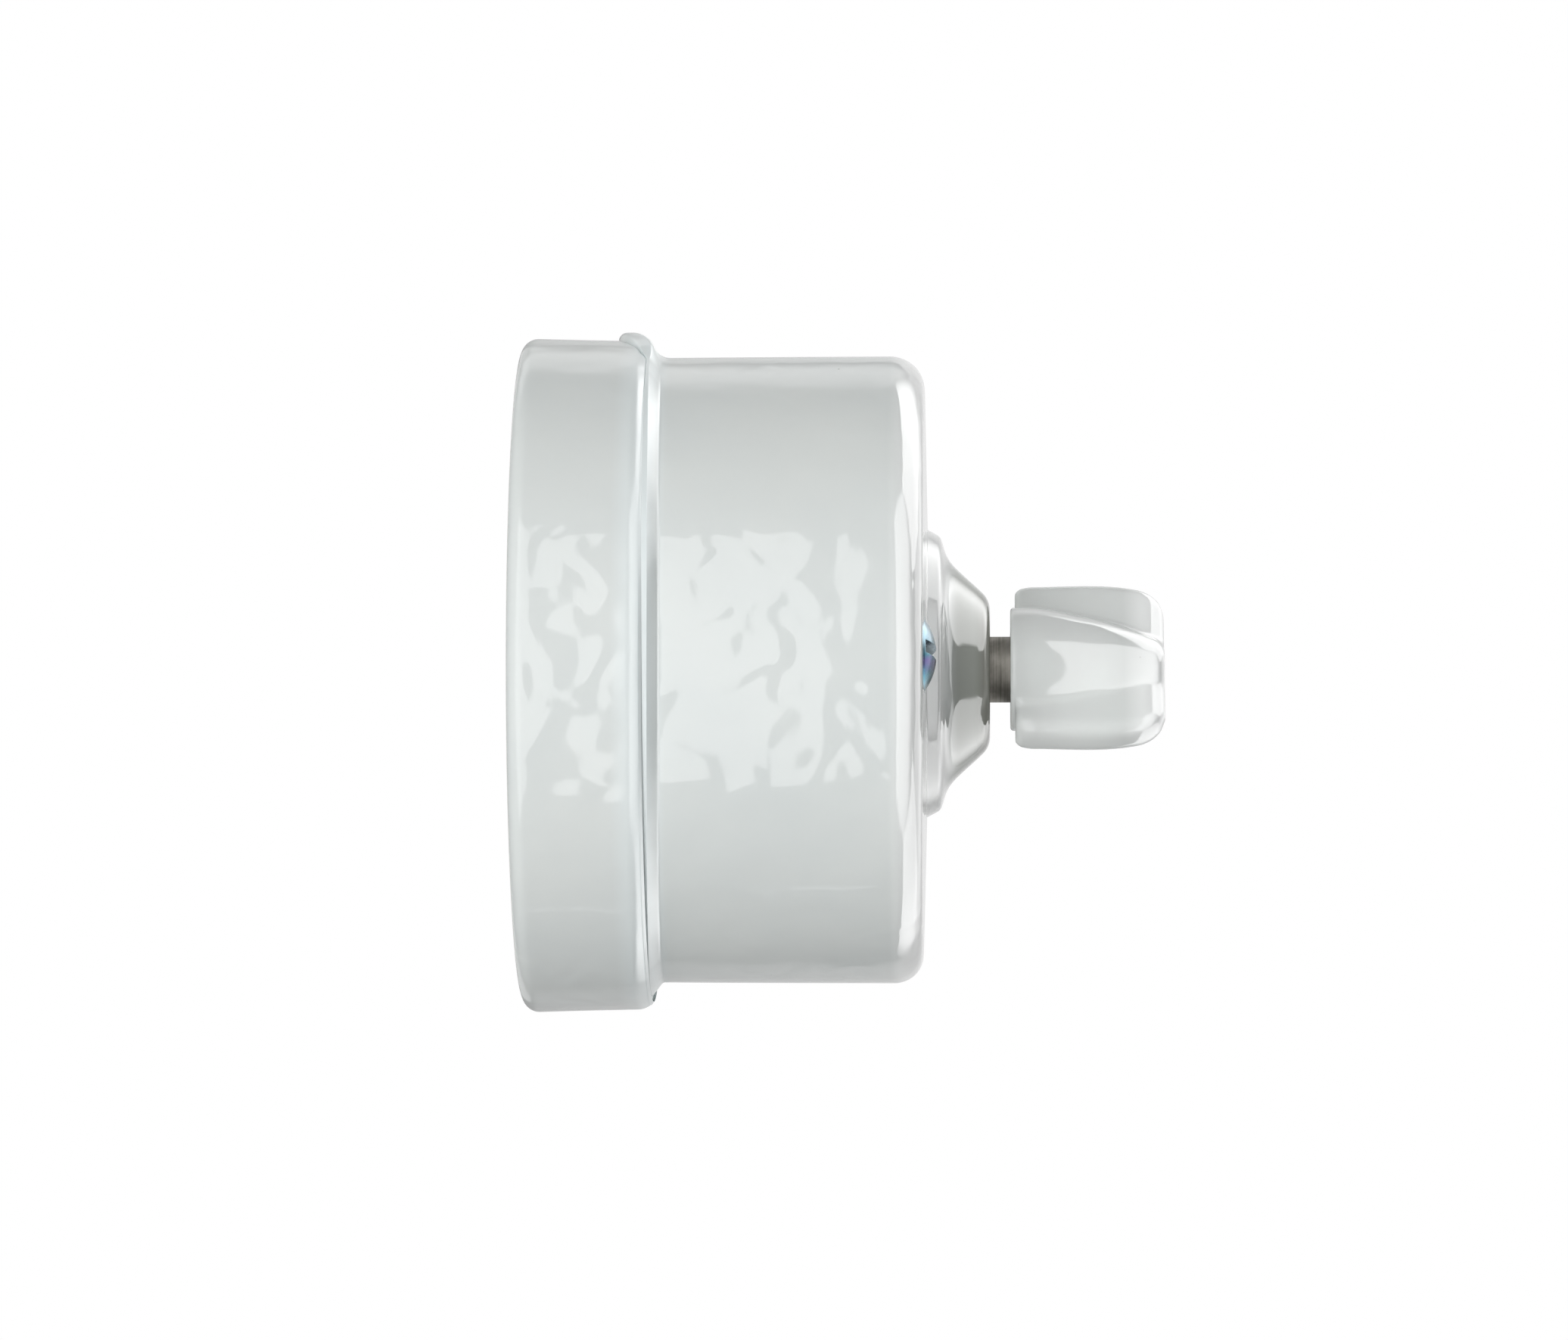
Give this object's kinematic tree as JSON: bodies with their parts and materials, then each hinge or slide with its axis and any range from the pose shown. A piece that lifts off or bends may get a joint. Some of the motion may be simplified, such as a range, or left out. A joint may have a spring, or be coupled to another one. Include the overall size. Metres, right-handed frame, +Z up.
{
  "type": "porcelain rotary switch",
  "caption": "White glazed porcelain surface rotary switch: round base and cap, bell round a metal spindle, winged porcelain knob that turns in quarter-turn steps.",
  "frame": {"origin": "where the spindle's axis meets the wall plane, on the base's back face", "axes": "+Z up, +Y into the wall, the knob points along -Y, +X right as seen from the front"},
  "size_m": [0.07, 0.0666, 0.0709],
  "materials": {
    "porcelain": "white glaze, glossy",
    "knob_porcelain": "white glaze, glossy",
    "blued_screw": "blue-passivated zinc plate",
    "spindle_metal": "dull aged steel",
    "steel": "bright zinc plate",
    "brass": "aged brass",
    "steatite": "unglazed, matt",
    "spring_steel": "blued spring steel"
  },
  "bodies": {
    "housing": {"base": "porcelain", "cover": "porcelain", "cover_screws": "blued_screw", "pillar_left": "brass", "pillar_right": "brass", "pillar_screws": "steel", "switch_block": "steatite", "footstep_bush": "brass", "terminal_left": "brass", "terminal_right": "brass", "contact_spring_left": "brass", "contact_spring_right": "brass", "contact_rivets": "brass", "terminal_bolts": "brass", "clamp_screws": "brass", "yoke": "steel", "yoke_screws": "steel", "bearing_bush": "brass", "bush_nut": "brass", "detent_spring_left": "spring_steel", "detent_spring_right": "spring_steel", "detent_screws": "steel"},
    "turning_set": {"knob": "knob_porcelain", "knob_insert": "brass", "spindle": "spindle_metal", "thrust_washer": "brass", "retaining_ring": "spring_steel", "detent_cam": "steel", "rotor_lower": "steatite", "rotor_upper": "steatite", "rotor_contact": "brass"}
  },
  "joints": [
    {"name": "knob_turn", "type": "hinge", "parent": "housing", "child": "turning_set", "pos_m": [0, -0.03, 0], "axis": [0, -1, 0], "continuous": true, "deforming": ["detent_spring_left", "detent_spring_right"]}
  ]
}
